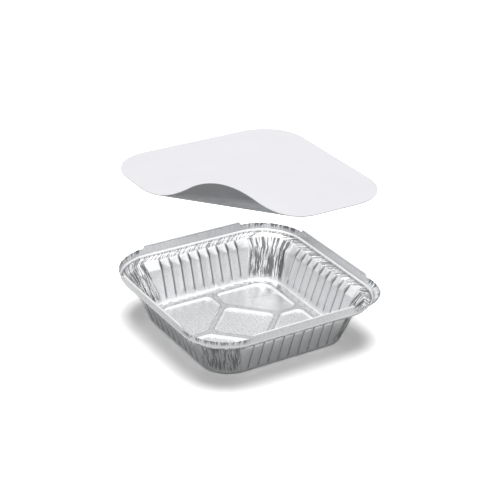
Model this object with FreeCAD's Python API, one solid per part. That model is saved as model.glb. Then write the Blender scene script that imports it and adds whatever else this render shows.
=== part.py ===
import FreeCAD, Part
import math
import os

# Square pressed-foil food tray with a laminated card lid held above it, its near corner peeled up.
# Units are mm. +Z is up, the tray stands on z = 0 and is centred on the Z axis.
# The peeled corner of the lid and the tray's near corner are the ones at -X -Y.

V = FreeCAD.Vector

# Foil sheet and rolled rim
FOIL = 0.12
RIM_HALF = 100.0
RIM_HEIGHT = 52.7
BEAD_RADIUS = 0.75
HEM_RADIUS = 0.3
CORNER_DROP = 3.2
CORNER_STEP_SHARE = 0.45
CORNER_FALL_STEPS = 6
RIM_STRAIGHT_HALF = 53.5

# Foot, wall and shoulder
FOOT_HALF = 73.9
FOOT_STRAIGHT_HALF = 46.8
FOOT_FLAT = 5.9
FOOT_ROUND = 1.5
WALL_FOOT_RISE = 3.0
WALL_TOP_HALF = 84.5
WALL_TOP_HEIGHT = 31.5
RIB_START_RISE = 2.5
SHOULDER_HALF = 90.0
SHOULDER_HEIGHT = 39.8
SHOULDER_ROUND = 1.6

# Ledge that takes the lid, and the upright lip round it
LEDGE_OUTER_HALF = 97.0
LEDGE_HEIGHT = 41.0
LEDGE_FALL = 0.2
STEP_RISE = 2.0
STEP_LEAN = 0.5
SHELF_RUN = 1.2
LIP_LEAN = 0.6

# Upright grooves pressed outward in each wall, and gathers in each corner
GROOVE_COUNT = 9
GROOVE_PITCH = 10.7
GROOVE_WIDTH = 3.0
GROOVE_DEPTH = 1.0
GATHER_STEPS = 24
GATHER_DEPTH = 1.6
LIP_WRINKLE = 0.25

# Pressed pattern in the base
RIDGE_HEIGHT = 2.2
RIDGE_SLOPE_RUN = 2.0
RIDGE_WIDTH = 5.0
PANEL_OUTER_HALF = 60.0
PANEL_OUTER_RADIUS = 13.0
PANEL_RADIUS = 5.0
DIAMOND_HALF = 32.0
ROUND_STEPS = 5

# Card lid: it is cut to drop inside the lip and to lie on the ledge
LID_EDGE_GAP = 1.0
LID_HALF = LEDGE_OUTER_HALF - LID_EDGE_GAP
LID_CORNER_RADIUS = 41.0
LID_THICKNESS = 0.5
LID_SEAT_GAP = 0.2
LID_LIFT = 111.5
LID_BOTTOM = LEDGE_HEIGHT + LID_SEAT_GAP + LID_LIFT
PEEL_START = 53.0
PEEL_RADIUS = 49.5
PEEL_TURN_DEG = -4.5
PEEL_STEPS = 30
LID_ROUND_STEPS = 18


# Flat outlines

def unit(angle):
    return V(math.cos(angle), math.sin(angle), 0)


def rounded_loop(corners, radii, shift, steps):
    """Outline of a convex polygon with rounded corners, moved outward by shift."""
    points = []
    count = len(corners)
    for i in range(count):
        before = corners[i] - corners[i - 1]
        after = corners[(i + 1) % count] - corners[i]
        start = math.atan2(-before.x, before.y)
        turn = math.atan2(before.x * after.y - before.y * after.x, before.dot(after))
        inward = unit(start + turn / 2) * (radii[i] / math.cos(turn / 2))
        centre = corners[i] - inward
        for step in range(steps + 1):
            points.append(centre + unit(start + turn * step / steps) * (radii[i] + shift))
    return points


def lifted(points, height):
    return [V(p.x, p.y, height) for p in points]


# Faces, shells and solids

def flat_enough(points):
    """True when four points share one plane."""
    normal = (points[1] - points[0]).cross(points[3] - points[0])
    if normal.Length < 1e-9:
        return False
    return abs(normal.normalize().dot(points[2] - points[0])) < 1e-7


def polygon(points):
    return Part.Face(Part.makePolygon(points + points[:1]))


def patch(points):
    """One quad as a single flat face, or as two triangles when it is twisted."""
    if flat_enough(points):
        return [polygon(points)]
    return [polygon(points[:3]), polygon([points[0], points[2], points[3]])]


def band(lower, upper, downward=False):
    """Faces between two closed loops; downward keeps the folds of a band that was built upward."""
    faces = []
    for i in range(len(lower)):
        j = (i + 1) % len(lower)
        corners = [lower[i], lower[j], upper[j], upper[i]]
        if downward:
            corners = corners[1:] + corners[:1]
        faces += patch(corners)
    return faces


def stack(rings, downward=False):
    """Bands through a run of loops."""
    faces = []
    for lower, upper in zip(rings, rings[1:]):
        faces += band(lower, upper, downward)
    return faces


def pierced(outer, holes):
    """Flat face with holes cut out of it."""
    wires = [Part.makePolygon(loop + loop[:1]) for loop in [outer] + holes]
    return Part.makeFace(wires, "Part::FaceMakerBullseye")


def solid_of(faces):
    """One closed solid from faces that meet edge to edge."""
    skin = Part.makeCompound(faces)
    skin.sewShape()
    shell = Part.Shell(skin.Faces)
    solid = Part.Solid(shell).removeSplitter()
    if solid.Volume < 0:
        solid.reverse()
    return solid


# Tray: stations round one ring of the wall

def side_stations():
    """Places along one side with the share of the groove's depth at each."""
    places = []
    first = -GROOVE_PITCH * (GROOVE_COUNT - 1) / 2
    for k in range(GROOVE_COUNT):
        centre = first + k * GROOVE_PITCH
        places.append((centre - GROOVE_WIDTH / 2, 0))
        places.append((centre, 1))
        places.append((centre + GROOVE_WIDTH / 2, 0))
    return places


def gather_share(step):
    """Uneven inward folds: every other station is pulled in by its own amount."""
    return (step % 2) * (0.7 + 0.3 * math.cos(2.6 * step))


def fall_share(step):
    """How much of the corner's drop is reached: a small step, then an easy fall to the corner's middle."""
    depth = min(1, (min(step, GATHER_STEPS - step) - 1) / CORNER_FALL_STEPS)
    return CORNER_STEP_SHARE + (1 - CORNER_STEP_SHARE) * depth * depth * (3 - 2 * depth)


def ring(half, straight, height, grooves, gathers, drop=0.0, shrink=(0.0, 0.0)):
    """One closed loop of points round the tray; shrink pulls the corners in and down."""
    points = []
    radius = half - straight
    side = [(-straight, 0)] + side_stations() + [(straight, 0)]
    for quarter in range(4):
        turn = FreeCAD.Rotation(V(0, 0, 1), 90 * quarter)
        for place, share in side:
            flat = V(place, -half - grooves * share, height)
            points.append(turn.multVec(flat))
        for step in range(1, GATHER_STEPS):
            angle = math.pi / 2 * (step / GATHER_STEPS - 1)
            reach = radius - shrink[0] - gathers * gather_share(step)
            level = height - shrink[1] - drop * fall_share(step)
            corner = V(straight, -straight, level) + unit(angle) * reach
            points.append(turn.multVec(corner))
    return points


# Tray: section of the sheet from the base pattern out to the rim

def section():
    """Inner skin as half width, height, groove depth, gather depth, straight half and corner drop."""
    wall_slope = (WALL_TOP_HALF - FOOT_HALF - 1) / (WALL_TOP_HEIGHT - WALL_FOOT_RISE)
    rib_half = FOOT_HALF + 1 + wall_slope * RIB_START_RISE
    rib_height = WALL_FOOT_RISE + RIB_START_RISE
    foot_inner = FOOT_HALF - FOOT_ROUND
    ridge_foot = foot_inner - FOOT_FLAT
    ridge_edge = ridge_foot - RIDGE_SLOPE_RUN
    ledge_inner = SHOULDER_HALF + SHOULDER_ROUND
    step_half = LEDGE_OUTER_HALF + STEP_LEAN
    step_height = LEDGE_HEIGHT + STEP_RISE
    shelf_half = step_half + SHELF_RUN
    low = FOOT_STRAIGHT_HALF
    high = RIM_STRAIGHT_HALF
    return [
        (ridge_edge, FOIL + RIDGE_HEIGHT, 0, 0, low, 0),
        (ridge_foot, FOIL, 0, 0, low, 0),
        (foot_inner, FOIL, 0, 0, low, 0),
        (FOOT_HALF, FOOT_ROUND * 0.6, 0, 0.15 * GATHER_DEPTH, low, 0),
        (FOOT_HALF + 1, WALL_FOOT_RISE, 0, 0.35 * GATHER_DEPTH, low, 0),
        (rib_half, rib_height, GROOVE_DEPTH, 0.5 * GATHER_DEPTH, low, 0),
        (WALL_TOP_HALF, WALL_TOP_HEIGHT, GROOVE_DEPTH, GATHER_DEPTH, high, 0),
        (SHOULDER_HALF, SHOULDER_HEIGHT, GROOVE_DEPTH, 0.7 * GATHER_DEPTH, high, 0),
        (ledge_inner, LEDGE_HEIGHT - LEDGE_FALL, 0, 0.2 * GATHER_DEPTH, high, 0),
        (LEDGE_OUTER_HALF, LEDGE_HEIGHT, 0, 0, high, 0),
        (step_half, step_height, 0, 0, high, 0),
        (shelf_half, step_height + LEDGE_FALL * 2, 0, LIP_WRINKLE, high, 0),
        (shelf_half + LIP_LEAN, RIM_HEIGHT - BEAD_RADIUS * 0.7, 0, LIP_WRINKLE, high, CORNER_DROP),
    ]


def outer_section(inner):
    """The same section one sheet thickness further out, with mitred turns."""
    path = [(inner[0][0] - 1, inner[0][1])] + [row[:2] for row in inner]
    path.append((path[-1][0], path[-1][1] + 1))
    outer = []
    for i, row in enumerate(inner):
        before = V(path[i + 1][0] - path[i][0], path[i + 1][1] - path[i][1], 0).normalize()
        after = V(path[i + 2][0] - path[i + 1][0], path[i + 2][1] - path[i + 1][1], 0).normalize()
        mitre = V(before.y + after.y, -before.x - after.x, 0) * (FOIL / (1 + before.dot(after)))
        outer.append((row[0] + mitre.x, row[1] + mitre.y) + row[2:])
    return outer


def section_ring(row):
    half, height, grooves, gathers, straight, drop = row
    return ring(half, straight, height, grooves, gathers, drop)


def bead_rings():
    """Loops round the rolled rim, which thins to a plain hem in the corners."""
    rings = []
    for degrees in range(150, -121, -54):
        angle = math.radians(degrees)
        half = RIM_HALF + BEAD_RADIUS * math.cos(angle)
        height = RIM_HEIGHT + BEAD_RADIUS * math.sin(angle)
        thinner = BEAD_RADIUS - HEM_RADIUS
        shrink = (thinner * (math.cos(angle) + 0.3), thinner * math.sin(angle))
        rings.append(ring(half, RIM_STRAIGHT_HALF, height, 0, LIP_WRINKLE, CORNER_DROP, shrink))
    return rings


# Tray: pressed pattern in the base

def panel_outlines():
    """Corner panels and the centre diamond, each as corners and radii."""
    slope = RIDGE_SLOPE_RUN
    inner = RIDGE_WIDTH / 2 + slope
    cut = DIAMOND_HALF + (RIDGE_WIDTH + 2 * slope) * math.sqrt(2) - inner
    outer = PANEL_OUTER_HALF
    corners = [V(cut, inner), V(outer, inner), V(outer, outer), V(inner, outer), V(inner, cut)]
    radii = [PANEL_RADIUS, PANEL_RADIUS, PANEL_OUTER_RADIUS, PANEL_RADIUS, PANEL_RADIUS]
    outlines = []
    for quarter in range(4):
        turn = FreeCAD.Rotation(V(0, 0, 1), 90 * quarter)
        outlines.append(([turn.multVec(p) for p in corners], radii))
    diamond = [unit(math.pi / 2 * k) * DIAMOND_HALF for k in range(4)]
    outlines.append((diamond, [PANEL_RADIUS] * 4))
    return outlines


def base_faces(rim, level, mitre):
    """One skin of the base: sunk panels, their slopes and the ridges between them."""
    faces = []
    holes = []
    for corners, radii in panel_outlines():
        floor = lifted(rounded_loop(corners, radii, mitre, ROUND_STEPS), level)
        top = lifted(rounded_loop(corners, radii, mitre + RIDGE_SLOPE_RUN, ROUND_STEPS), level + RIDGE_HEIGHT)
        faces.append(polygon(floor))
        faces += band(floor, top)
        holes.append(top)
    faces.append(pierced(rim, holes))
    return faces


def foil_tray():
    inner = section()
    outer = outer_section(inner)
    upward = [section_ring(row) for row in inner] + bead_rings()
    downward = upward[-1:] + [section_ring(row) for row in reversed(outer)]
    slope_angle = math.atan2(RIDGE_HEIGHT, RIDGE_SLOPE_RUN)
    faces = stack(upward) + stack(downward, True)
    faces += base_faces(upward[0], FOIL, 0)
    faces += base_faces(downward[-1], 0, FOIL * math.tan(slope_angle / 2))
    return solid_of(faces)


# Lid: a flat card whose near corner is rolled up about a slanted line

def lid_outline():
    corners = [V(-1, -1) * LID_HALF, V(1, -1) * LID_HALF, V(1, 1) * LID_HALF, V(-1, 1) * LID_HALF]
    return rounded_loop(corners, [LID_CORNER_RADIUS] * 4, 0, LID_ROUND_STEPS)


def crossings(outline, along, distance):
    """Where the outline crosses the line square to along at a distance from the centre."""
    found = []
    for i, here in enumerate(outline):
        there = outline[(i + 1) % len(outline)]
        start = here.dot(along) - distance
        end = there.dot(along) - distance
        if start * end < 0:
            found.append(here + (there - here) * (start / (start - end)))
    across = V(-along.y, along.x, 0)
    return sorted(found, key=lambda p: p.dot(across))


def rolled(point, along, rise):
    """Carry a flat point onto the rolled-up part; rise is the height above the card's underside."""
    past = point.dot(along) - PEEL_START
    if past <= 1e-9:
        return point + V(0, 0, LID_BOTTOM + rise)
    angle = past / PEEL_RADIUS
    reach = PEEL_START + (PEEL_RADIUS - rise) * math.sin(angle)
    height = PEEL_RADIUS - (PEEL_RADIUS - rise) * math.cos(angle)
    return point + along * (reach - point.dot(along)) + V(0, 0, LID_BOTTOM + height)


def lid_rulings(outline, along):
    """Straight lines across the rolled part, from the fold line to the tip."""
    tip = max(p.dot(along) for p in outline)
    rulings = []
    for k in range(PEEL_STEPS):
        distance = PEEL_START + (tip - PEEL_START) * k / PEEL_STEPS
        rulings.append(crossings(outline, along, distance))
    return rulings


def board_lid():
    along = unit(math.radians(225 + PEEL_TURN_DEG))
    outline = lid_outline()
    rulings = lid_rulings(outline, along)
    tip = max(outline, key=lambda p: p.dot(along))
    flat = [p for p in outline if p.dot(along) < PEEL_START - 1e-6]
    across = V(-along.y, along.x, 0)
    flat.sort(key=lambda p: math.atan2(p.dot(across), -p.dot(along)))
    loop = [rulings[0][0]] + flat + [rulings[0][1]]
    right = [pair[0] for pair in reversed(rulings[1:])]
    left = [pair[1] for pair in rulings[1:]]
    faces = []
    for rise in (0, LID_THICKNESS):
        faces.append(polygon([rolled(p, along, rise) for p in loop]))
        for low, high in zip(rulings, rulings[1:]):
            faces += patch([rolled(p, along, rise) for p in (low[0], low[1], high[1], high[0])])
        faces.append(polygon([rolled(p, along, rise) for p in (rulings[-1][0], rulings[-1][1], tip)]))
    edge = loop + left + [tip] + right
    bottom = [rolled(p, along, 0) for p in edge]
    top = [rolled(p, along, LID_THICKNESS) for p in edge]
    faces += band(bottom, top)
    return solid_of(faces)


# Build and export

def main():
    os.makedirs("parts", exist_ok=True)
    foil_tray().exportStep("parts/foil_tray.step")
    board_lid().exportStep("parts/board_lid.step")


main()
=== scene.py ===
import bpy
import math
from bpy.props import FloatProperty, FloatVectorProperty, IntProperty, PointerProperty
from mathutils import Matrix, Vector
from mathutils.geometry import delaunay_2d_cdt


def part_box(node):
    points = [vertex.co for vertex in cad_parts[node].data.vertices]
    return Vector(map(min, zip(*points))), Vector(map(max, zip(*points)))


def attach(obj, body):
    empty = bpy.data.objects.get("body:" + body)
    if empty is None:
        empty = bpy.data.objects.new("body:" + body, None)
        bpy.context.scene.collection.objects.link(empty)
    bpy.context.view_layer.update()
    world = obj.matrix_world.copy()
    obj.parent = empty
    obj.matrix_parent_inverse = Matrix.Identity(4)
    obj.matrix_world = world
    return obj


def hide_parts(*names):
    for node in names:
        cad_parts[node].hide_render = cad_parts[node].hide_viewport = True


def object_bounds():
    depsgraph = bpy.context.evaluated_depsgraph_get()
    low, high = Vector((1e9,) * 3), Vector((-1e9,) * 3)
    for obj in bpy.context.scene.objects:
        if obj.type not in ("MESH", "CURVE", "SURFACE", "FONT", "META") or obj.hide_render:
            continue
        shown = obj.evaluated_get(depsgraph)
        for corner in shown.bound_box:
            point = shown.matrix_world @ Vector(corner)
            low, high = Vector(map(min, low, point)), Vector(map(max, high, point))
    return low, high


bl_info = {
    "name": "Foil food container",
    "version": (1, 0, 0),
    "blender": (4, 5, 0),
    "location": "View3D > Sidebar > Container",
    "description": "Square pressed-foil food tray with a card lid held above it, one corner peeled up",
    "category": "Object",
}

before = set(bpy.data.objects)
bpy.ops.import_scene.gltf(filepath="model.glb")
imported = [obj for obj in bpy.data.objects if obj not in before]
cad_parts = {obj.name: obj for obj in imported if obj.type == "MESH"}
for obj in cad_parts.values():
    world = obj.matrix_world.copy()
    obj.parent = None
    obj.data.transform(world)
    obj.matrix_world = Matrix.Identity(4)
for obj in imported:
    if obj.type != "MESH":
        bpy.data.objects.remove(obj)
CAD_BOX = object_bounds()
TRAY_HIGH = Vector(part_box("foil_tray")[1])
LID_LOW, LID_HIGH = [Vector(corner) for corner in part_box("board_lid")]
MM = 0.001
CORNER_REACH = 34 * MM


# Sizes and colours that a user would change

def length(name, description, default):
    return FloatProperty(name=name, description=description, default=default, min=0.0, unit="LENGTH", precision=5)


def colour(name, description, default):
    return FloatVectorProperty(name=name, description=description, default=default, size=3, min=0.0, max=1.0,
                               subtype="COLOR")


def factor(name, description, default):
    return FloatProperty(name=name, description=description, default=default, min=0.0, max=1.0, subtype="FACTOR")


def amount(name, description, default, unit="NONE"):
    return FloatProperty(name=name, description=description, default=default, min=0.0, unit=unit)


def bearing(name, description, degrees):
    return FloatProperty(name=name, description=description, default=math.radians(degrees), subtype="ANGLE")


class TraySizes(bpy.types.PropertyGroup):
    """Sizes of the pressed foil tray."""
    bead_radius: length("Bead radius", "Radius of the rolled rim", 0.9 * MM)
    hem_radius: length("Hem radius", "Radius of the plain hem in the corners", 0.3 * MM)
    rim_height: length("Rim height", "From the table to the middle of the bead", TRAY_HIGH.z - 0.75 * MM)
    rim_straight: length("Straight rim half", "Half of a side's straight run at the rim", 53.5 * MM)
    corner_drop: length("Corner drop", "How much lower the rim is in the corners", 3.2 * MM)
    corner_flare: length("Corner flare", "How far the lip is bent out in the corner at +X -Y", 5.5 * MM)
    foot_half: length("Foot half width", "From the centre to the foot of a wall", 73.9 * MM)
    foot_straight: length("Straight foot half", "Half of a side's straight run at the foot", 46.8 * MM)
    wall_top_half: length("Wall top half width", "From the centre to the top of a wall", 84.5 * MM)
    wall_top_height: length("Wall top height", "Where the wall turns into the shoulder", 31.5 * MM)
    shoulder_half: length("Shoulder half width", "From the centre to the top of the sloping shoulder", 90.6 * MM)
    ledge_half: length("Ledge half width", "From the centre to the ledge's outer edge", 97.0 * MM)
    ledge_height: length("Ledge height", "Height of the ledge that takes the lid", 41.0 * MM)
    ledge_fall: length("Ledge fall", "How much lower the ledge is at its inner edge", 2.0 * MM)
    sheet: length("Foil thickness", "Thickness of the pressed sheet", 0.12 * MM)
    ridge_height: length("Ridge height", "Height of the ridges between the base panels", 2.2 * MM)
    ridge_width: length("Ridge width", "Width of a ridge's flat top", 5.0 * MM)
    ridge_slope: length("Ridge slope", "Run of a ridge's sloping side", 2.0 * MM)
    panel_half: length("Panels half width", "From the centre to the panels' outer edges", 60.0 * MM)
    diamond_half: length("Diamond half width", "From the centre to a point of the middle panel", 32.0 * MM)


class PressSizes(bpy.types.PropertyGroup):
    """Grooves, gathers and wrinkles pressed into the foil."""
    groove_count: IntProperty(name="Grooves", description="Grooves in each wall", default=9, min=1)
    groove_pitch: length("Groove pitch", "From one groove to the next", 10.7 * MM)
    groove_width: length("Groove width", "Width of a groove at the wall's face", 2.6 * MM)
    groove_depth: length("Groove depth", "How far a groove is pressed outward", 1.2 * MM)
    foot_flare: length("Foot flare", "How far a groove spreads to one side at the foot", 4.5 * MM)
    lobe_depth: length("Lobe depth", "How far a panel's top stands in beside its groove", 3.6 * MM)
    gather_spacing: length("Gather spacing", "Width of one gather in a corner", 4.4 * MM)
    gather_length: length("Gather length", "Usual length of a crease in a corner", 30.0 * MM)
    gather_depth: length("Gather depth", "Depth of the gathers in the corners", 2.1 * MM)
    crimp_spacing: length("Crimp spacing", "Width of one pleat in the corner lip", 2.1 * MM)
    crimp_depth: length("Crimp depth", "Depth of the pleats in the corner lip", 0.45 * MM)
    wrinkle_depth: length("Wrinkle depth", "Depth of the slanted wrinkles on the ledge", 0.65 * MM)
    seed: IntProperty(name="Seed", description="Changes the run of the creases", default=7, min=0)


class LidSizes(bpy.types.PropertyGroup):
    """Sizes of the card lid."""
    half: length("Half width", "Half of the flat card's side", LID_HIGH.x)
    corner_radius: length("Corner radius", "Radius of the card's corners", 41.0 * MM)
    thickness: length("Card thickness", "Thickness of the laminated card", 0.5 * MM)
    bottom: length("Height of the underside", "From the table to the flat part's underside", LID_LOW.z)
    peel_start: length("Peel start", "From the card's centre to the start of the curl", 53.0 * MM)
    peel_radius: length("Peel radius", "Radius of the peeled corner's curl", 49.5 * MM)
    peel_turn: bearing("Peel direction", "Direction of the peeled corner about Z", 220.5)


class Finishes(bpy.types.PropertyGroup):
    """Colours and polish of the foil and the card, with the colours of the painted shade in folds and grooves."""
    foil: colour("Foil", "Colour of the bare foil", (0.87, 0.875, 0.885))
    foil_roughness: factor("Foil roughness", "How dull the foil is", 0.33)
    # Painted shade colour that the small folds and the ridge tops are darkened toward.
    fold: colour("Fold", "Colour deep in a tight fold", (0.10, 0.105, 0.11))
    # Painted shade colour for the groove lines, the line under the bead, the step's foot, the middle of the ledge
    # and the ridges' top edges.
    groove: colour("Groove", "Colour along a pressed groove's sharp line", (0.17, 0.175, 0.185))
    card: colour("Card", "Colour of the card's coated face", (0.80, 0.80, 0.83))
    card_edge: colour("Card edge", "Colour of the cut edge", (0.55, 0.55, 0.62))
    lining: colour("Lining", "Colour of the card's laminated underside", (0.25, 0.255, 0.265))


class StageLook(bpy.types.PropertyGroup):
    """Floor, lamps and camera."""
    floor: colour("Floor", "Colour of the floor, as it lights the object", (0.34, 0.34, 0.34))
    floor_white: amount("Floor white", "How much paler the floor shows to the camera", 5.2)
    floor_mirror: amount("Floor mirrored", "How much paler the floor shows in the foil", 3.1)
    key_power: amount("Key lamp", "Power of the large lamp above", 62.0, "POWER")
    sky: factor("Sky", "Brightness of the surroundings on the object", 0.36)
    azimuth: bearing("Camera azimuth", "Where the camera stands about Z", -32.33)
    elevation: bearing("Camera elevation", "How far the camera looks down", 26.86)
    roll: bearing("Camera roll", "Turn of the camera about its view", 1.416)
    distance: length("Camera distance", "From the camera to the point it looks at", 1.4429)
    lens: amount("Lens", "Focal length", 109.03, "CAMERA")


GROUPS = {
    "container_tray": TraySizes,
    "container_press": PressSizes,
    "container_lid": LidSizes,
    "container_finish": Finishes,
    "container_stage": StageLook,
}


# Node trees written as sums

class Value:
    """A node's output that can stand in a Python sum."""

    def __init__(self, graph, socket):
        self.graph = graph
        self.socket = socket

    def of(self, name):
        return Value(self.graph, self.socket.node.outputs[name])

    def do(self, operation, *others):
        return self.graph.math(operation, self, *others)

    def __add__(self, other):
        return self.do("ADD", other)

    def __sub__(self, other):
        return self.do("SUBTRACT", other)

    def __rsub__(self, other):
        return self.graph.math("SUBTRACT", other, self)

    def __mul__(self, other):
        return self.do("MULTIPLY", other)

    def __truediv__(self, other):
        return self.do("DIVIDE", other)

    def __neg__(self):
        return self * -1

    def __abs__(self):
        return self.do("ABSOLUTE")

    __radd__ = __add__


class Graph:
    """Adds nodes to one node tree."""

    def __init__(self, tree):
        self.tree = tree

    def feed(self, socket, value):
        if isinstance(value, Value):
            self.tree.links.new(value.socket, socket)
        elif socket.type == "RGBA" and len(value) == 3:
            socket.default_value = (*value, 1)
        else:
            socket.default_value = value

    def node(self, kind, settings=None, inputs=None, output=0):
        made = self.tree.nodes.new(kind)
        for name, setting in (settings or {}).items():
            if name == "stops":
                self.set_stops(made.color_ramp.elements, setting)
            else:
                setattr(made, name, setting)
        for name, value in (inputs or {}).items():
            self.feed(made.inputs[name], value)
        return Value(self, made.outputs[output]) if made.outputs else made

    def set_stops(self, elements, stops):
        while len(elements) < len(stops):
            elements.new(1)
        for element, (position, shade) in zip(elements, stops):
            element.position = position
            element.color = (*shade, 1)

    def math(self, operation, *values):
        return self.node("ShaderNodeMath", {"operation": operation}, dict(enumerate(values)))

    def xyz(self, x, y, z=0.0):
        return self.node("ShaderNodeCombineXYZ", None, {0: x, 1: y, 2: z})

    def vector(self, operation, *values, scale=None):
        inputs = dict(enumerate(values))
        if scale is not None:
            inputs["Scale"] = scale
        return self.node("ShaderNodeVectorMath", {"operation": operation}, inputs)

    def ramp(self, value, low, high, start=0.0, end=1.0):
        inputs = {"Value": value, "From Min": low, "From Max": high, "To Min": start, "To Max": end}
        return self.node("ShaderNodeMapRange", {"interpolation_type": "SMOOTHSTEP"}, inputs)

    def noise(self, vector, scale=1.0, detail=2.0, roughness=0.5):
        return self.node("ShaderNodeTexNoise", None,
                         {"Vector": vector, "Scale": scale, "Detail": detail, "Roughness": roughness})

    def cells(self, vector, distance="MANHATTAN"):
        return self.node("ShaderNodeTexVoronoi", {"distance": distance}, {"Vector": vector, "Scale": 1.0})

    def blend(self, factor, first, second):
        return self.node("ShaderNodeMix", {"data_type": "RGBA"}, {0: factor, 6: first, 7: second}, 2)

    def shades(self, factor, tint, low, high=1.0):
        """From one share of a colour to another."""
        return self.blend(factor, [c * low for c in tint], [c * high for c in tint])

    def dot(self, first, second):
        return self.vector("DOT_PRODUCT", first, second).of("Value")

    def z_of(self, vector):
        return self.node("ShaderNodeSeparateXYZ", None, {0: vector}).of("Z")

    def bump(self, strength, distance, height):
        return self.node("ShaderNodeBump", None, {"Strength": strength, "Distance": distance, "Height": height})

    def position(self):
        return self.node("GeometryNodeInputPosition")

    def attribute(self, name, kind="FLOAT"):
        return self.node("GeometryNodeInputNamedAttribute", {"data_type": kind}, {"Name": name})


def empty_graph(owner):
    owner.use_nodes = True
    owner.node_tree.nodes.clear()
    return Graph(owner.node_tree)


def new_geometry_tree(name, sizes):
    """A geometry tree with named number inputs; returns the graph and its input values."""
    tree = bpy.data.node_groups.new(name, "GeometryNodeTree")
    tree.interface.new_socket("Geometry", in_out="INPUT", socket_type="NodeSocketGeometry")
    for label, value in sizes.items():
        kind = "NodeSocketInt" if isinstance(value, int) else "NodeSocketFloat"
        tree.interface.new_socket(label, in_out="INPUT", socket_type=kind).default_value = value
    tree.interface.new_socket("Geometry", in_out="OUTPUT", socket_type="NodeSocketGeometry")
    graph = Graph(tree)
    return graph, graph.node("NodeGroupInput")


def run_tree(obj, graph, sizes):
    """Put a tree on an object and set each named input by its socket's identifier."""
    modifier = obj.modifiers.new(graph.tree.name, "NODES")
    modifier.node_group = graph.tree
    for item in graph.tree.interface.items_tree:
        if item.in_out == "INPUT" and item.name in sizes:
            modifier[item.identifier] = sizes[item.name]


def add_object(name, data):
    obj = bpy.data.objects.new(name, data)
    bpy.context.collection.objects.link(obj)
    return obj


def own_names(group):
    """The names of a group's sizes, without what every group has."""
    return [name for name in group.bl_rna.properties.keys() if name not in ("rna_type", "name")]


def make_plain(obj, sharp):
    """Keep the evaluated mesh, drop every modifier, and shade it smooth but for edges above an angle in degrees."""
    bpy.context.view_layer.update()
    evaluated = obj.evaluated_get(bpy.context.evaluated_depsgraph_get())
    plain = bpy.data.meshes.new_from_object(evaluated)
    plain.name = obj.name
    obj.modifiers.clear()
    obj.data = plain
    for name in [a.name for a in plain.attributes if a.name in SPENT]:
        plain.attributes.remove(plain.attributes[name])
    plain.shade_smooth()
    plain.set_sharp_from_angle(angle=math.radians(sharp))


# Outlines

SQUARE = ((-1, -1), (1, -1), (1, 1), (-1, 1))


def unit(angle):
    return Vector((math.cos(angle), math.sin(angle), 0))


def quarter_turn(quarter):
    return Matrix.Rotation(math.pi / 2 * quarter, 3, "Z")


def closed_edges(first, count):
    return [(first + i, first + (i + 1) % count) for i in range(count)]


def rounded_loop(corners, radii, shift, steps):
    """Outline of a convex polygon with rounded corners, moved outward by shift."""
    points = []
    count = len(corners)
    for i in range(count):
        before = corners[i] - corners[i - 1]
        after = corners[(i + 1) % count] - corners[i]
        start = math.atan2(-before.x, before.y)
        turn = math.atan2(before.x * after.y - before.y * after.x, before.dot(after))
        centre = corners[i] - unit(start + turn / 2) * (radii[i] / math.cos(turn / 2))
        for step in range(steps + 1):
            points.append(centre + unit(start + turn * step / steps) * (radii[i] + shift))
    return points


def rounded_path(points, radii):
    """Open path in the plane with its corners turned into arcs."""
    path = [points[0]]
    for before, here, after, radius in zip(points, points[1:], points[2:], radii):
        into = (here - before).normalized()
        out = (after - here).normalized()
        turn = math.atan2(into.x * out.y - into.y * out.x, into.dot(out))
        side = math.copysign(1, turn)
        tangent = radius * math.tan(abs(turn) / 2)
        centre = here - into * tangent + Vector((-into.y, into.x)) * (radius * side)
        arm = here - into * tangent - centre
        steps = 4 if radius > 4 * MM else 3 if radius > 1 * MM else 1
        for step in range(steps + 1):
            path.append(centre + Matrix.Rotation(turn * step / steps, 2) @ arm)
    return path + [points[-1]]


def evened(path, spacing):
    """The same path with long runs divided."""
    points = [path[0]]
    for before, here in zip(path, path[1:]):
        count = max(1, math.ceil((here - before).length / spacing))
        points += [before.lerp(here, i / count) for i in range(1, count + 1)]
    return points


def clamp(share):
    return min(1, max(0, share))


def ease(value, low, high):
    """Smooth step from 0 at low to 1 at high."""
    t = clamp((value - low) / (high - low))
    return t * t * (3 - 2 * t)


# Tray: the unpressed sheet, as rings of points round it

# Radii of the bends in the section, from the base pattern to the lip
BEND_RADII = [r * MM for r in (1.2, 1.4, 1.2, 4.0, 1.0, 0.4, 0.5, 0.4, 0.1)]
RING_SPACING = 1.9 * MM
LOBE_RING_SPACING = 1.25 * MM
# Where the points of a side stand, from the middle of a groove
GROOVE_OFFSETS = [d * MM for d in (0, 0.45, 0.9, 1.35, 2.2, 3.6, 5.35)]
SIDE_END = 46.3 * MM
CORNER_STEPS = 58
BEAD_STEPS = 6
# How far a ledge wrinkle runs round the tray for each step outward
LEDGE_SLANT = 1.4
# A quarter of the tray is a side and the corner after it: the first ends at +X -Y, the last at -X -Y
FLARED_QUARTER, NEAR_QUARTER = 0, 3
# What the press works by at each point, and the part of it that the finish doesn't need
WEIGHTS = ("along", "round", "outward", "fold", "flare", "turn", "spread", "gather", "crimp", "wrinkle", "slack",
           "foot", "seam")
SPENT = ("along", "outward", "fold", "flare", "turn", "spread", "slack", "foot", "seam", "face")


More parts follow.
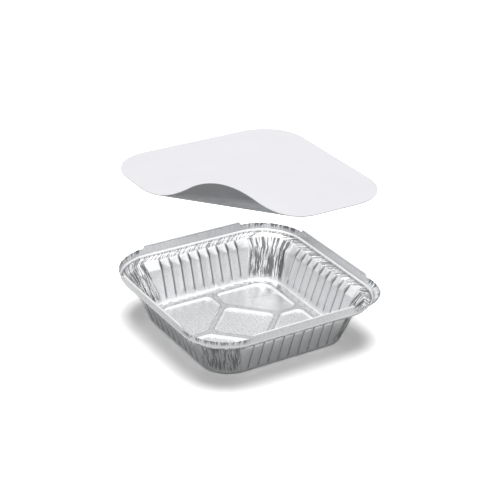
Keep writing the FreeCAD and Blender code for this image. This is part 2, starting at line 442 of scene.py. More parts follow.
def section(tray):
    """The sheet from the base pattern to the top of the lip, as half widths and heights."""
    skin = tray.sheet
    shoulder_top = tray.ledge_height - tray.ledge_fall
    ridge_foot = tray.foot_half - 7.4 * MM
    step_half = tray.ledge_half + 0.5 * MM
    shelf_half = step_half + 1.2 * MM
    return [Vector(point) for point in (
        (ridge_foot - tray.ridge_slope, skin + tray.ridge_height),
        (ridge_foot, skin),
        (tray.foot_half - 0.6 * MM, skin),
        (tray.foot_half + 0.5 * MM, 1.7 * MM),
        (tray.wall_top_half, tray.wall_top_height),
        (tray.shoulder_half, shoulder_top),
        (tray.ledge_half, tray.ledge_height),
        (step_half, tray.ledge_height + 2.0 * MM),
        (shelf_half, tray.ledge_height + 2.4 * MM),
        (shelf_half + 0.55 * MM, tray.rim_height - 1.2 * MM),
        (shelf_half + 0.6 * MM, tray.rim_height - 0.5 * MM),
    )]


def section_rings(tray):
    """Smooth section, with its rings closer together where the panels' lobes are."""
    path = evened(rounded_path(section(tray), BEND_RADII), RING_SPACING)
    low, high = tray.wall_top_height - 1 * MM, tray.ledge_height - tray.ledge_fall
    lobes = [i for i, point in enumerate(path) if low < point.y < high]
    first, last = lobes[0], lobes[-1] + 2
    return path[:first] + evened(path[first:last], LOBE_RING_SPACING) + path[last:]


def bead_offset(radius, step):
    """Offset round the rolled rim, which runs from the inner side over the top to the outer side."""
    angle = math.radians(200 - 300 * step / BEAD_STEPS)
    return radius * math.cos(angle), radius * math.sin(angle)


def side_places(press):
    """Stations along a side, close together where a groove bends."""
    places = set()
    for k in range(press.groove_count):
        centre = (k - (press.groove_count - 1) / 2) * press.groove_pitch
        for offset in GROOVE_OFFSETS:
            places.update((round(centre - offset, 7), round(centre + offset, 7)))
    return sorted(place for place in places if abs(place) < SIDE_END)


def stations(press):
    """Places round the tray as quarter, place along the side and angle round the corner."""
    found = []
    for quarter in range(4):
        found.append((quarter, None, -1.0))
        found += [(quarter, place, 0.0) for place in side_places(press)]
        found.append((quarter, None, 1.0))
        found += [(quarter, None, 1.0 + step / CORNER_STEPS) for step in range(1, CORNER_STEPS)]
    return found


def ring_point(station, half, straight, height, corner_half):
    """One point of a ring and its outward direction; corner_half is the half width in the corner arc."""
    quarter, place, arc = station
    turn = quarter_turn(quarter)
    if place is not None or arc <= 1.0:
        along = place if place is not None else arc * straight
        return turn @ Vector((along, -half, height)), turn @ Vector((0, -1, 0))
    angle = math.pi / 2 * (arc - 1.0)
    out = unit(angle - math.pi / 2)
    return turn @ (Vector((straight, -straight, height)) + out * (corner_half - straight)), turn @ out


def corner_depth(station):
    """Distance into the corner from the nearer straight, in degrees of its arc."""
    arc = station[2]
    return 90 * min(arc - 1, 2 - arc) if station[1] is None and arc > 1 else 0.0


def corner_share(station):
    """Grows from 0 on the straights to 1 well inside a corner."""
    return ease(corner_depth(station), 1.0, 11.0)


def rim_drop(tray, station):
    """How much the rim falls at a station: a small step where the bead ends, then an easy fall."""
    depth = corner_depth(station)
    step = 0.8 * ease(depth, 0, 2.4)
    fall = 0.2 * ease(depth, 3.0, 24.0)
    notch = 0.25 * math.exp(-((depth - 3.0) / 1.2) ** 2)
    return tray.corner_drop * (step + fall + notch)


def flare_reach(tray, station, half, lip):
    """Half width in the corner arc, where the lip of one corner is bent outward."""
    quarter, place, arc = station
    if place is not None or arc <= 1.0 or quarter != FLARED_QUARTER:
        return half
    return half + tray.corner_flare * lip * math.sin(math.pi * (arc - 1)) ** 1.2


def bead_radius(tray, station):
    return tray.bead_radius + (tray.hem_radius - tray.bead_radius) * ease(corner_depth(station), 0, 3.0)


def station_along(tray, station):
    """Distance along the side, for the grooves, and distance round the whole tray, for the creases."""
    quarter, place, arc = station
    quarter_run = 2 * tray.rim_straight + CORNER_REACH * math.pi / 2
    if place is not None:
        along = place
    elif arc <= 1.0:
        along = arc * tray.rim_straight
    else:
        along = tray.rim_straight + CORNER_REACH * math.pi / 2 * (arc - 1)
    return along, quarter * quarter_run + along


class SheetMesh:
    """Collects points, faces and the weights that the press works by."""

    def __init__(self):
        self.points = []
        self.faces = []
        self.weights = {name: [] for name in WEIGHTS}

    def add(self, point, **weights):
        self.points.append(point)
        for name, values in self.weights.items():
            values.append(weights.get(name, (0, 0, 0) if name == "outward" else 0.0))
        return len(self.points) - 1

    def build(self, name):
        mesh = bpy.data.meshes.new(name)
        mesh.from_pydata([tuple(p) for p in self.points], [], self.faces)
        for label, values in self.weights.items():
            if label == "outward":
                layer = mesh.attributes.new(label, "FLOAT_VECTOR", "POINT")
                layer.data.foreach_set("vector", [c for v in values for c in v])
            else:
                layer = mesh.attributes.new(label, "FLOAT", "POINT")
                layer.data.foreach_set("value", values)
        mesh.validate()
        return mesh


def ring_weights(tray, station, half, height, lip):
    """Shares of each pressed form at one point of the section."""
    quarter, place, _ = station
    bend = corner_share(station)
    side = 1.0 if place is not None else 0.0
    slack = 0.75 if quarter == NEAR_QUARTER else 1.0
    top, shoulder, ledge, foot = tray.wall_top_height, tray.shoulder_half, tray.ledge_half, tray.foot_half
    above_foot = ease(height, 1.5 * MM, 5.0 * MM)
    below_shoulder = 1 - ease(half, shoulder - 0.4 * MM, shoulder + 0.9 * MM)
    gathered = ease(height, 1.0 * MM, 7.0 * MM) * (1 - ease(half, shoulder - 1.0 * MM, shoulder + 4.0 * MM))
    on_ledge = ease(half, shoulder, shoulder + 0.8 * MM) * (1 - ease(half, ledge, ledge + 0.6 * MM))
    near_foot = ease(half, foot - 4.0 * MM, foot - 1.5 * MM) * (1 - ease(height, 3.0 * MM, 6.0 * MM))
    return {
        "seam": painted_dark_line_share(tray, half, height),
        "fold": side * above_foot * below_shoulder,
        "flare": side * (1 - ease(height, 4.0 * MM, 9.0 * MM)),
        "turn": 1.0 if quarter in (0, 2) else -1.0,
        "spread": side * lobe_share(tray, half, height),
        "gather": slack * bend * gathered,
        "crimp": lip * (0.12 + 0.88 * bend),
        "wrinkle": on_ledge * (0.85 + 0.15 * bend),
        "slack": ease(height, 3.0 * MM, 8.0 * MM) * (1 - ease(height, top - 3 * MM, top + 2 * MM)),
        "foot": near_foot,
    }


def lobe_share(tray, half, height):
    """Grows from the top of the wall to the ledge's inner edge, and fades out on the ledge."""
    rise = (height - tray.wall_top_height + 1 * MM) / (tray.ledge_height - tray.ledge_fall - tray.wall_top_height)
    return clamp(rise) * (1 - ease(half, tray.shoulder_half + 0.4 * MM, tray.shoulder_half + 3.4 * MM))


def painted_dark_line_share(tray, half, height):
    """Painted shade lines: under the bead, at the step's foot and along the middle of the ledge."""
    if height > tray.rim_height - 0.8 * MM:
        return 0.7
    if abs(half - tray.ledge_half) < 0.4 * MM and height < tray.ledge_height + 0.5 * MM:
        return 0.6
    return 0.0


def straight_half(tray, height):
    """Half of a side's straight run, which grows from the foot to the top of the wall."""
    share = clamp((height - 3 * MM) / (tray.wall_top_height - 3 * MM))
    return tray.foot_straight + (tray.rim_straight - tray.foot_straight) * share


def add_point(sheet, tray, station, half, straight, height, lip, weights):
    """One point of the sheet; lip runs from 0 at the ledge to 1 at the rim."""
    height -= rim_drop(tray, station) * lip
    point, out = ring_point(station, half, straight, height, flare_reach(tray, station, half, lip))
    along, around = station_along(tray, station)
    around += LEDGE_SLANT * max(0.0, min(half, tray.ledge_half) - tray.shoulder_half)
    return sheet.add(point, along=along, round=around, outward=tuple(out), **weights)


def add_ring(sheet, tray, places, half, height):
    """One ring of the section."""
    lip = ease(height, tray.ledge_height + 2.5 * MM, tray.rim_height - 0.5 * MM)
    straight = straight_half(tray, height)
    return [add_point(sheet, tray, station, half, straight, height, lip,
                      ring_weights(tray, station, half, height, lip)) for station in places]


def add_bead_ring(sheet, tray, places, step):
    """One ring round the rolled rim, or round the plain hem in the corners."""
    ring = []
    for station in places:
        radius = bead_radius(tray, station)
        dx, dz = bead_offset(radius, step)
        half = tray.ledge_half + 2.3 * MM + radius + dx
        crimp = corner_share(station) * (0.5 if station[0] == NEAR_QUARTER else 1.0)
        # A painted shade line runs along the last ring of the bead, on its outer side.
        weights = {"crimp": crimp, "seam": 0.6 if step == BEAD_STEPS else 0.0}
        ring.append(add_point(sheet, tray, station, half, tray.rim_straight, tray.rim_height + dz, 1.0, weights))
    return ring


def join_rings(sheet, lower, upper):
    sheet.faces += [(lower[i], upper[i], upper[j], lower[j]) for i, j in closed_edges(0, len(lower))]


# Tray: the pattern pressed into its base

def panel_outlines(tray):
    """Corner panels and the centre diamond, each as corners and radii."""
    inner = tray.ridge_width / 2 + tray.ridge_slope
    cut = tray.diamond_half + (tray.ridge_width + 2 * tray.ridge_slope) * math.sqrt(2) - inner
    outer = tray.panel_half
    corners = [(cut, inner), (outer, inner), (outer, outer), (inner, outer), (inner, cut)]
    radii = [r * MM for r in (5.0, 5.0, 13.0, 5.0, 5.0)]
    outlines = []
    for quarter in range(4):
        turn = quarter_turn(quarter)
        outlines.append(([turn @ Vector((x, y, 0)) for x, y in corners], radii))
    diamond = [unit(math.pi / 2 * k) * tray.diamond_half for k in range(4)]
    outlines.append((diamond, [5.0 * MM] * 4))
    return outlines


def inside(loop, point):
    """Even-odd test of a point against a closed outline."""
    hit = False
    for a, b in zip(loop, loop[1:] + loop[:1]):
        if (a.y > point.y) != (b.y > point.y):
            if point.x < a.x + (b.x - a.x) * (point.y - a.y) / (b.y - a.y):
                hit = not hit
    return hit


# Loops of a ridge's side: share of its run, share of its height, and darkness of the painted shade line along its
# top edge
RIDGE_SIDE = ((0.0, 0.0, 0.0), (0.5, 0.5, 0.0), (0.8, 0.8, 0.0), (1.0, 1.0, 0.8), (1.3, 1.0, 0.0))
# How much wider than drawn a ridge's side runs, inward and outward
RIDGE_EASE = 0.1 * MM
BASE_SPACING = 4.5 * MM
LOOP_STEPS = 7


def base_points(tray, rim):
    """Points, heights, darknesses of the painted shade lines and fixed edges for the base, inside the ring of
    points given.
    """
    floor, top = tray.sheet, tray.sheet + tray.ridge_height
    points = [p.to_2d() for p in rim]
    heights = [(p.z, 0.0) for p in rim]
    edges = closed_edges(0, len(rim))
    zones = []
    for corners, radii in panel_outlines(tray):
        for run, rise, line in RIDGE_SIDE:
            shift = -RIDGE_EASE + (tray.ridge_slope + 2 * RIDGE_EASE) * run
            loop = rounded_loop(corners, radii, shift, LOOP_STEPS)
            edges += closed_edges(len(points), len(loop))
            points += [p.to_2d() for p in loop]
            heights += [(floor + tray.ridge_height * rise, line)] * len(loop)
        zones.append([rounded_loop(corners, radii, shift, LOOP_STEPS) for shift in (-2.5 * MM, 3.4 * MM)])
    count = int(tray.panel_half / BASE_SPACING)
    for i in range(-count, count + 1):
        for j in range(-count, count + 1):
            point = Vector((i * BASE_SPACING, j * BASE_SPACING, 0))
            in_panel = any(inside(inner, point) for inner, outer in zones)
            if in_panel or not any(inside(outer, point) for inner, outer in zones):
                points.append(point.to_2d())
                heights.append((floor if in_panel else top, 0.0))
    return points, heights, edges


def add_base(sheet, tray, ring):
    """Fill the innermost ring with the pressed base."""
    rim = [sheet.points[i] for i in ring]
    points, heights, edges = base_points(tray, rim)
    verts, _, faces, origins, _, _ = delaunay_2d_cdt(points, edges, [], 0, 1e-7)
    index = []
    for vert, origin in zip(verts, origins):
        source = min(origin) if origin else None
        if source is not None and source < len(ring):
            index.append(ring[source])
        else:
            height, line = heights[source] if source is not None else (tray.sheet, 0.0)
            # Points on a ridge's top edge carry the darkness of a painted shade line.
            index.append(sheet.add(Vector((vert.x, vert.y, height)), seam=line))
    sheet.faces += [tuple(index[i] for i in face) for face in faces]


def unpressed_sheet(tray, press):
    sheet = SheetMesh()
    places = stations(press)
    rows = [add_ring(sheet, tray, places, half, height) for half, height in section_rings(tray)]
    rows += [add_bead_ring(sheet, tray, places, step) for step in range(BEAD_STEPS + 1)]
    for lower, upper in zip(rows, rows[1:]):
        join_rings(sheet, lower, upper)
    add_base(sheet, tray, rows[0])
    return sheet.build("foil_sheet")


# Tray: pressing the grooves, gathers and wrinkles

PANEL_CROWN = 0.4 * MM
# Share of the lobes' height that a lobe climbs along its panel
LOBE_CLIMB = 0.8
# Half width of the painted shade line along a groove, and how much wider it gets at the top
LINE_HALF, WEDGE_GROWTH = 1.1 * MM, 1.4 * MM
LEDGE_BAND = 3.8 * MM
STREAK_SPACING, STREAK_LENGTH = 2.8 * MM, 4.5 * MM
LUMP_SPACING, LUMP_HEIGHT, LUMP_DEPTH = 3.4 * MM, 3.5 * MM, 0.7 * MM
SLACK_DEPTH = 0.7 * MM


def groove_field(graph, size):
    """Inward push of the walls, valleys pressed outward between crowned panels, and the painted shade lines along
    the valleys.
    """
    pitch = size.of("Groove pitch")
    along = graph.attribute("along")
    offset = ((along / pitch + 0.5).do("FRACT") - 0.5) * pitch * graph.attribute("turn")
    spread = graph.attribute("spread")
    half = size.of("Groove width") * 0.5
    right = half + graph.attribute("flare") * size.of("Foot flare")
    reach = (offset / right).do("MAXIMUM", -offset / half)
    valley = (1 - reach).do("MAXIMUM", 0.0) * size.of("Groove depth")
    middle = offset / pitch * 2
    crown = (1 - middle * middle) * PANEL_CROWN
    past = (offset / pitch).do("FRACT")
    lobe = spread.do("MINIMUM", past * LOBE_CLIMB) * size.of("Lobe depth")
    on_side = abs(along).do("LESS_THAN", size.of("Grooves") * pitch * 0.5)
    within = on_side * graph.attribute("fold")
    wedge = LINE_HALF + spread * WEDGE_GROWTH
    # Painted shade: a dark line along each valley, wider towards the top.
    line = (1 - abs(offset) / wedge).do("MAXIMUM", 0.0) * within * (1 - spread * spread * 0.7)
    return (crown - valley) * within + lobe * on_side, line


def gather_field(graph, size):
    """Inward push of the corner gathers: long crossing creases with sharp edges."""
    around = graph.attribute("round") + size.of("Seed") * 0.37
    height = graph.z_of(graph.position())
    spacing = size.of("Gather spacing")
    wander = graph.noise(graph.xyz(around / 0.014, height / 0.02), 1.0, 1.0) - 0.5
    across = around / spacing + wander * 1.6
    up = height / size.of("Gather length")
    broad = graph.cells(graph.xyz(across * 0.5, up + around / spacing * 0.13))
    fine = graph.cells(graph.xyz(across, up * 1.5 - around / spacing * 0.22, 3.0))
    calm = graph.ramp(graph.noise(graph.xyz(around / 0.02, height / 0.05, 5.0), 1.0, 1.0), 0.35, 0.6, 0.5, 1.0)
    push = (0.9 - broad) * 0.9 + (0.8 - fine) * 0.6
    return push * calm * size.of("Gather depth") * graph.attribute("gather")


def crimp_field(graph, size):
    """Inward push of the fine pleats in the corner lips."""
    around = graph.attribute("round") + size.of("Seed") * 0.11
    pleats = graph.cells(graph.xyz(around / size.of("Crimp spacing"), 0.0))
    small = graph.cells(graph.xyz(around / size.of("Crimp spacing") * 2.3, 4.0))
    return ((0.7 - pleats) + (0.5 - small) * 0.4) * size.of("Crimp depth") * graph.attribute("crimp")


def ledge_field(graph, size):
    """Downward push of the slanted wrinkles on the ledge, in two bands either side of a fine line."""
    around = graph.attribute("round")
    out = graph.dot(graph.position(), graph.attribute("outward", "FLOAT_VECTOR"))
    band = (out / LEDGE_BAND).do("FLOOR")
    slanted = around / STREAK_SPACING + band * 0.37
    streaks = graph.cells(graph.xyz(slanted, out / STREAK_LENGTH, band * 3.1))
    return (0.1 - streaks).do("MINIMUM", 0.0) * size.of("Wrinkle depth") * graph.attribute("wrinkle")


def foot_field(graph):
    """Small lumps along the foot, where the wall was drawn out of the base."""
    around = graph.attribute("round")
    height = graph.z_of(graph.position())
    lumps = graph.cells(graph.xyz(around / LUMP_SPACING, height / LUMP_HEIGHT, 9.0), "EUCLIDEAN")
    return (0.7 - lumps) * LUMP_DEPTH * graph.attribute("foot")


def slack_field(graph):
    """Slow in and out wander of the thin walls."""
    place = graph.position()
    return (graph.noise(place, 45.0, 1.0) - 0.5) * SLACK_DEPTH * graph.attribute("slack")


def press_sizes(press):
    """The tree's inputs, which have the same names as the sizes in the panel."""
    return {press.bl_rna.properties[name].name: getattr(press, name) for name in own_names(press)}


def press_tree(press, material):
    """Geometry nodes that press the plain sheet."""
    graph, size = new_geometry_tree("Press the foil", press_sizes(press))
    groove, line = groove_field(graph, size)
    # The crease attribute carries painted shade: the groove lines and the other painted dark lines.
    crease = line.do("MAXIMUM", graph.attribute("seam"))
    inward = groove + gather_field(graph, size) + crimp_field(graph, size)
    inward = inward + slack_field(graph) + foot_field(graph)
    outward = graph.attribute("outward", "FLOAT_VECTOR")
    push = graph.vector("SCALE", outward, scale=-inward)
    down = graph.xyz(0.0, 0.0, ledge_field(graph, size))
    offset = graph.vector("ADD", push, down)
    lined = graph.node("GeometryNodeStoreNamedAttribute", {"data_type": "FLOAT", "domain": "POINT"},
                       {"Geometry": size.of("Geometry"), "Name": "crease", "Value": crease})
    pressed = graph.node("GeometryNodeSetPosition", None, {"Geometry": lined, "Offset": offset})
    finish_tree(graph, pressed, [(material, None)])
    return graph


def finish_tree(graph, geometry, finishes):
    """Realize Instances, then Set Material for each finish, then the output."""
    geometry = graph.node("GeometryNodeRealizeInstances", None, {"Geometry": geometry})
    for material, chosen in finishes:
        inputs = {"Geometry": geometry, "Material": material}
        if chosen is not None:
            inputs["Selection"] = chosen
        geometry = graph.node("GeometryNodeSetMaterial", None, inputs)
    graph.node("NodeGroupOutput", None, {0: geometry})


# Lid: a flat card of rows across the peel, then the roll

CARD_ROWS, CARD_COLUMNS = 130, 26
# How far inside the outline the first and last rows lie
TIP = 0.02 * MM


def crowded(count):
    """Shares from 0 to 1 that stand closer together at both ends."""
    return [0.5 + 0.5 * math.sin(math.pi * (k / count - 0.5)) for k in range(count + 1)]


def crossings(outline, along, distance):
    """The two places where the outline crosses a line square to along."""
    across = Vector((-along.y, along.x, 0))
    found = []
    for here, there in zip(outline, outline[1:] + outline[:1]):
        start = here.dot(along) - distance
        end = there.dot(along) - distance
        if start * end < 0:
            found.append(here + (there - here) * (start / (start - end)))
    return sorted(found, key=lambda p: p.dot(across))


def flat_card(lid):
    """Both faces and the cut edge of the flat card; the face attribute tells them apart."""
    along = unit(lid.peel_turn)
    square = [Vector((x, y, 0)) * lid.half for x, y in SQUARE]
    outline = rounded_loop(square, [lid.corner_radius] * 4, 0, 48)
    reach = [p.dot(along) for p in outline]
    near, far = max(reach) - TIP, min(reach) + TIP
    grid = []
    for row in crowded(CARD_ROWS):
        first, last = crossings(outline, along, far + (near - far) * row)
        grid.append([first.lerp(last, column) for column in crowded(CARD_COLUMNS)])
    return card_mesh(grid, lid.thickness)


def card_mesh(grid, thickness):
    rows, columns = len(grid), len(grid[0])
    points = [(p.x, p.y, rise) for rise in (0.0, thickness) for row in grid for p in row]
    top = rows * columns
    faces, kinds = [], []
    for k in range(rows - 1):
        for j in range(columns - 1):
            a = k * columns + j
            b, c, d = a + 1, a + columns + 1, a + columns
            faces += [(a, b, c, d), (top + a, top + d, top + c, top + b)]
            kinds += [0, 1]
    rim = list(range(columns))
    rim += [k * columns + columns - 1 for k in range(1, rows)]
    rim += [(rows - 1) * columns + j for j in range(columns - 2, -1, -1)]
    rim += [k * columns for k in range(rows - 2, 0, -1)]
    for a, b in zip(rim, rim[1:] + rim[:1]):
        faces.append((b, a, top + a, top + b))
        kinds.append(2)
    mesh = bpy.data.meshes.new("card")
    mesh.from_pydata(points, [], faces)
    layer = mesh.attributes.new("face", "INT", "FACE")
    layer.data.foreach_set("value", kinds)
    return mesh


def peel_sizes(lid):
    return {
        "Underside": lid.bottom,
        "Peel start": lid.peel_start,
        "Peel radius": lid.peel_radius,
        "Peel direction": lid.peel_turn,
    }


def peel_tree(lid, top, lining, edge):
    """Geometry nodes that roll the card's corner up and lift the card to its place."""
    graph, size = new_geometry_tree("Peel the card", peel_sizes(lid))
    place = graph.position()
    rise = graph.z_of(place)
    turn = size.of("Peel direction")
    along = graph.xyz(turn.do("COSINE"), turn.do("SINE"))
    distance = graph.dot(place, along)
    start = size.of("Peel start")
    radius = size.of("Peel radius")
    angle = (distance - start).do("MAXIMUM", 0.0) / radius
    arm = radius - rise
    reach = distance.do("MINIMUM", start) + arm * angle.do("SINE")
    height = size.of("Underside") + radius - arm * angle.do("COSINE")
    sideways = graph.vector("SCALE", along, scale=reach - distance)
    offset = graph.vector("ADD", sideways, graph.xyz(0.0, 0.0, height - rise))
    rolled = graph.node("GeometryNodeSetPosition", None, {"Geometry": size.of("Geometry"), "Offset": offset})
    face = graph.attribute("face", "INT")
    finish_tree(graph, rolled, [
        (lining, None),
        (top, abs(face - 1).do("LESS_THAN", 0.5)),
        (edge, abs(face - 2).do("LESS_THAN", 0.5)),
    ])
    return graph


# Finishes

# Heights between which the painted shade of the base and its ridges and the lip's painted highlight and shade fade
# in or out
BASE_TOP, RIDGE_TOP = (2.5 * MM, 6.0 * MM), (1.9 * MM, 2.3 * MM)
LIP_FOOT, LIP_TOP = (43.5 * MM, 45.5 * MM), (51.2 * MM, 52.4 * MM)
# The finest folds, which are too small for the mesh
FOLD_SPACING, FOLD_LENGTH, FOLD_DRIFT, FOLD_DEPTH = 1.7 * MM, 17.0 * MM, 13.0 * MM, 0.36 * MM
FOLD_WANDER = 9.0 * MM
GRAIN_DEPTH = 0.03 * MM


def new_material(name):
    material = bpy.data.materials.new(name)
    graph = empty_graph(material)
    place = graph.node("ShaderNodeTexCoord").of("Object")
    return material, graph, place


def close_material(graph, values, kind="ShaderNodeBsdfPrincipled"):
    """Set the shader's own sockets and join it to the material's output."""
    graph.node("ShaderNodeOutputMaterial", None, {"Surface": graph.node(kind, None, values)})


def foil_finish(finish):
    """Bright foil: fine grain and dents all over, and crisp small folds where it is gathered, with painted shade in
    the folds, along the grooves and other dark lines, on the flat base, on the ridge tops and on the lip's outer
    side, and a painted highlight on the lip's inner side.
    """
    material, graph, place = new_material("bright_foil")

    def share(name):
        return graph.node("ShaderNodeAttribute", {"attribute_name": name}).of("Fac")

    normal = graph.node("ShaderNodeNewGeometry").of("Normal")
    height = graph.z_of(place)
    base = graph.ramp(height, *BASE_TOP, 1.0, 0.0) * graph.ramp(abs(graph.z_of(normal)), 0.8, 0.95)
    ridge = graph.ramp(height, *RIDGE_TOP) * base
    lip = graph.ramp(height, *LIP_FOOT) * graph.ramp(height, *LIP_TOP, 1.0, 0.0)
    outer = graph.ramp(graph.dot(normal, place), -0.01, 0.01)

    around = share("round")
    wander = graph.noise(graph.xyz(around / FOLD_WANDER, height / FOLD_WANDER)) - 0.5
    across = around / FOLD_SPACING + wander * 2.4
    folds = graph.cells(graph.xyz(across, height / FOLD_LENGTH, around / FOLD_DRIFT))
    gathered = share("gather").do("MAXIMUM", share("crimp")).do("MAXIMUM", share("wrinkle") * 0.9)
    grain = graph.noise(place, 950.0, 2.0, 0.7)
    dents = graph.noise(place, 210.0)
    patches = graph.noise(place, 38.0, 3.0)
    bump = graph.bump(1.0, 1.0, folds * gathered * FOLD_DEPTH + (grain + dents) * GRAIN_DEPTH)
    rough = finish.foil_roughness + (patches - 0.5) * 0.04 - gathered * 0.12 - base * 0.06

    shade = graph.ramp(patches * 0.15 + grain * 0.85, 0.36, 0.64)
    specks = graph.ramp(graph.noise(place, 560.0, 2.0, 0.7), 0.38, 0.62)
    # Painted highlight on the lip's inner side and painted shade on its outer side.
    lip_inside_lit = graph.shades(shade, finish.foil, 0.86, 1.06)
    lip_outside_shaded = graph.shades(shade, finish.foil, 0.64, 0.82)
    tone = graph.blend(lip, graph.shades(shade, finish.foil, 0.86), graph.blend(outer, lip_inside_lit, lip_outside_shaded))
    # Painted shade on the flat, upward-facing base: a darker copy of the foil.
    tone = graph.blend(base, tone, graph.shades(specks, finish.foil, 0.66, 0.84))
    # Painted shade on the ridge tops.
    tone = graph.blend(ridge * 0.2, tone, finish.fold)
    # Painted shade in the small folds of the gathers, crimps and ledge wrinkles.
    tone = graph.blend(graph.ramp(folds, 0.66, 0.92) * gathered * 0.85, tone, finish.fold)
    # Painted shade along the grooves and the other painted dark lines.
    tone = graph.blend(share("crease") * 0.85, tone, finish.groove)
    close_material(graph, {"Base Color": tone, "Metallic": 1.0, "Roughness": rough, "Normal": bump})
    return material


def card_finish(finish):
    """Coated card: nearly smooth, with faint fibres under the coating."""
    material, graph, place = new_material("coated_card")
    fibres = graph.noise(graph.vector("MULTIPLY", place, (900.0, 300.0, 300.0)), 1.0, 3.0)
    clouds = graph.noise(place, 26.0, 3.0)
    tone = graph.shades(graph.ramp(fibres * 0.5 + clouds * 0.5, 0.3, 0.7), finish.card, 0.965)
    close_material(graph, {"Base Color": tone, "Roughness": 0.42 + (fibres - 0.5) * 0.1,
                           "Normal": graph.bump(0.12, 0.1 * MM, fibres)})
    return material


def lining_finish(finish):
    """Satin silver lining under the card."""
    material, graph, place = new_material("silver_lining")
    grain = graph.noise(graph.vector("MULTIPLY", place, (500.0, 500.0, 90.0)))
    clouds = graph.noise(place, 30.0)
    tone = graph.shades(graph.ramp(clouds, 0.3, 0.7), finish.lining, 0.93)
    close_material(graph, {"Base Color": tone, "Metallic": 0.75, "Roughness": 0.42 + (grain - 0.5) * 0.12,
                           "Normal": graph.bump(0.15, 0.1 * MM, grain)})
    return material


def edge_finish(finish):
    """Cut edge of the card."""
    material, graph, place = new_material("cut_edge")
    tone = graph.shades(graph.noise(place, 1500.0), finish.card_edge, 0.85)
    close_material(graph, {"Base Color": tone, "Roughness": 0.7})
    return material


# Stage

FLOOR_HALF = 6.0
FLOOR_GAP = 0.2 * MM
# How far to the right and upward of the object's origin the camera looks, as the photograph does
VIEW_SHIFT = (0.0053, 0.0705)
KEY_PLACE = Vector((0.1, 0.15, 3.0))
KEY_TARGET = Vector((0, 0, 0.08))
KEY_SIZE = 2.2
# Level direction from the object to the camera
TO_CAMERA = (-0.535, -0.845)


def floor_finish(stage):
    """Pale floor that shows white to the camera and pale in reflections, and keeps the shadow."""
    material, graph, place = new_material("pale_floor")
    rays = graph.node("ShaderNodeLightPath")
    mirrored = rays.of("Is Glossy Ray").do("MAXIMUM", rays.of("Is Transmission Ray"))
    mirrored = mirrored * rays.of("Diffuse Depth").do("LESS_THAN", 0.5)
    level = 1 + rays.of("Is Camera Ray") * (stage.floor_white - 1) + mirrored * (stage.floor_mirror - 1)
    tone = graph.shades(graph.noise(place, 60.0), stage.floor, 0.995)
    close_material(graph, {"Color": graph.vector("SCALE", tone, scale=level)}, "ShaderNodeBsdfDiffuse")
    return material


def set_sky(stage):
    """White to the camera; in reflections pale above and behind, grey in front, with gaps low down."""
    world = bpy.data.worlds.new("pale_room")
    graph = empty_graph(world)
    rays = graph.node("ShaderNodeLightPath")
    way = graph.node("ShaderNodeSeparateXYZ", None, {0: graph.node("ShaderNodeTexCoord").of("Generated")})
    front = way.of("X") * TO_CAMERA[0] + way.of("Y") * TO_CAMERA[1]
    above = graph.ramp(way.of("Z") + front * 0.2, 0.2, 0.5, 0.0, 1.3)
    level = graph.ramp(front, -0.4, 0.5, 1.05, 0.54)
    angle = way.of("Y").do("ARCTAN2", way.of("X")) - math.radians(-58)
    gaps = graph.ramp((angle * 6).do("COSINE"), -1.0, -0.2, 0.88, 0.0)
    low = graph.ramp(way.of("Z"), 0.2, 0.38, 1.0, 0.0)
    shine = (level * (1 - gaps * low)).do("MAXIMUM", above)
    seen = rays.of("Is Camera Ray").do("MAXIMUM", rays.of("Is Transmission Ray"))
    glossy = rays.of("Is Glossy Ray")
    dome = way.of("Z") * way.of("Z") * 1.8 + 0.1
    strength = dome * stage.sky * (1 - glossy) + shine * glossy
    light = strength * (1 - seen) + seen
    back = graph.node("ShaderNodeBackground", None, {"Color": (1.0, 1.0, 1.0), "Strength": light})
    graph.node("ShaderNodeOutputWorld", None, {"Surface": back})
    bpy.context.scene.world = world


def add_key_lamp(power):
    """One large soft lamp high above, aimed at the tray."""
    data = bpy.data.lights.new("key", "AREA")
    data.shape = "DISK"
    data.size = KEY_SIZE
    data.energy = power
    turn = (KEY_TARGET - KEY_PLACE).to_track_quat("-Z", "Y").to_matrix().to_4x4()
    add_object("key", data).matrix_world = Matrix.Translation(KEY_PLACE) @ turn


def add_camera(stage):
    """Camera at the photograph's angle, turned slightly about its own view."""
    a, e, r = stage.azimuth, stage.elevation, stage.roll
    back = Vector((math.sin(a) * math.cos(e), -math.cos(a) * math.cos(e), math.sin(e)))
    level = Vector((math.cos(a), math.sin(a), 0))
    upright = back.cross(level)
    right = level * math.cos(r) + upright * math.sin(r)
    above = upright * math.cos(r) - level * math.sin(r)
    place = back * stage.distance + right * VIEW_SHIFT[0] + above * VIEW_SHIFT[1]
    data = bpy.data.cameras.new("camera")
    data.lens = stage.lens
    data.clip_start = 0.05
    camera = add_object("camera", data)
    camera.matrix_world = Matrix.Translation(place) @ Matrix((right, above, back)).transposed().to_4x4()
    bpy.context.scene.camera = camera


# Operators, one for each piece and one for the stage

class OBJECT_OT_press_tray(bpy.types.Operator):
    """Make the pressed foil tray"""
    bl_idname = "object.press_tray"
    bl_label = "Press tray"

    def execute(self, context):
        scene = context.scene
        tray = add_object("foil_tray_pressed", unpressed_sheet(scene.container_tray, scene.container_press))
        foil = foil_finish(scene.container_finish)
        graph = press_tree(scene.container_press, foil)
        run_tree(tray, graph, press_sizes(scene.container_press))
        skin = tray.modifiers.new("Foil thickness", "SOLIDIFY")
        skin.thickness = scene.container_tray.sheet
        skin.offset = -1.0
        make_plain(tray, 32)
        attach(tray, "tray")
        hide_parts("foil_tray")
        return {"FINISHED"}


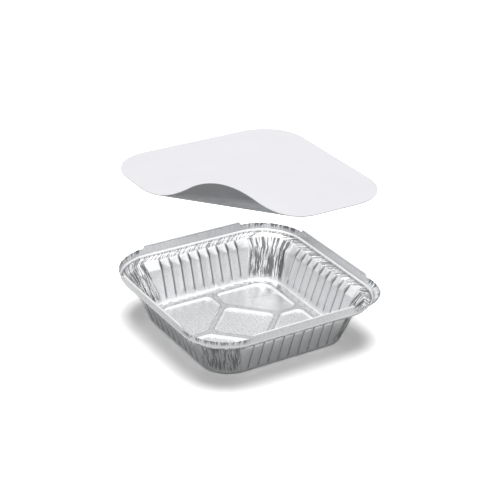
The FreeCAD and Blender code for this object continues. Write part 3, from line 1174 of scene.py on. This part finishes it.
class OBJECT_OT_cut_lid(bpy.types.Operator):
    """Make the card lid with its peeled corner"""
    bl_idname = "object.cut_lid"
    bl_label = "Cut lid"

    def execute(self, context):
        scene = context.scene
        sizes = scene.container_lid
        finish = scene.container_finish
        lid = add_object("card_lid_peeled", flat_card(sizes))
        graph = peel_tree(sizes, card_finish(finish), lining_finish(finish), edge_finish(finish))
        run_tree(lid, graph, peel_sizes(sizes))
        make_plain(lid, 50)
        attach(lid, "lid")
        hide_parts("board_lid")
        lid.visible_glossy = False
        return {"FINISHED"}


class SCENE_OT_set_stage(bpy.types.Operator):
    """Make the floor, the lamps, the surroundings and the camera"""
    bl_idname = "scene.set_stage"
    bl_label = "Set stage"

    def execute(self, context):
        stage = context.scene.container_stage
        mesh = bpy.data.meshes.new("floor")
        corners = [(x * FLOOR_HALF, y * FLOOR_HALF, 0) for x, y in SQUARE]
        mesh.from_pydata(corners, [], [(0, 1, 2, 3)])
        mesh.materials.append(floor_finish(stage))
        floor = add_object("floor", mesh)
        floor.location.z = CAD_BOX[0][2] - FLOOR_GAP
        set_sky(stage)
        add_key_lamp(stage.key_power)
        add_camera(stage)
        context.scene.view_settings.view_transform = "Standard"
        return {"FINISHED"}


class VIEW3D_PT_container(bpy.types.Panel):
    """Lists the container's sizes and the steps that make it"""
    bl_label = "Foil food container"
    bl_idname = "VIEW3D_PT_container"
    bl_space_type = "VIEW_3D"
    bl_region_type = "UI"
    bl_category = "Container"

    def draw(self, context):
        for group in GROUPS:
            box = self.layout.box()
            values = getattr(context.scene, group)
            for name in own_names(values):
                box.prop(values, name)
        for operator in OPERATORS:
            self.layout.operator(operator.bl_idname)


OPERATORS = (OBJECT_OT_press_tray, OBJECT_OT_cut_lid, SCENE_OT_set_stage)
CLASSES = (*GROUPS.values(), *OPERATORS, VIEW3D_PT_container)


def register():
    for cls in CLASSES:
        bpy.utils.register_class(cls)
    for name, group in GROUPS.items():
        setattr(bpy.types.Scene, name, PointerProperty(type=group))


def unregister():
    for name in GROUPS:
        delattr(bpy.types.Scene, name)
    for cls in reversed(CLASSES):
        bpy.utils.unregister_class(cls)


def main():
    register()
    bpy.ops.object.press_tray()
    bpy.ops.object.cut_lid()
    bpy.ops.scene.set_stage()


if __name__ == "__main__":
    main()
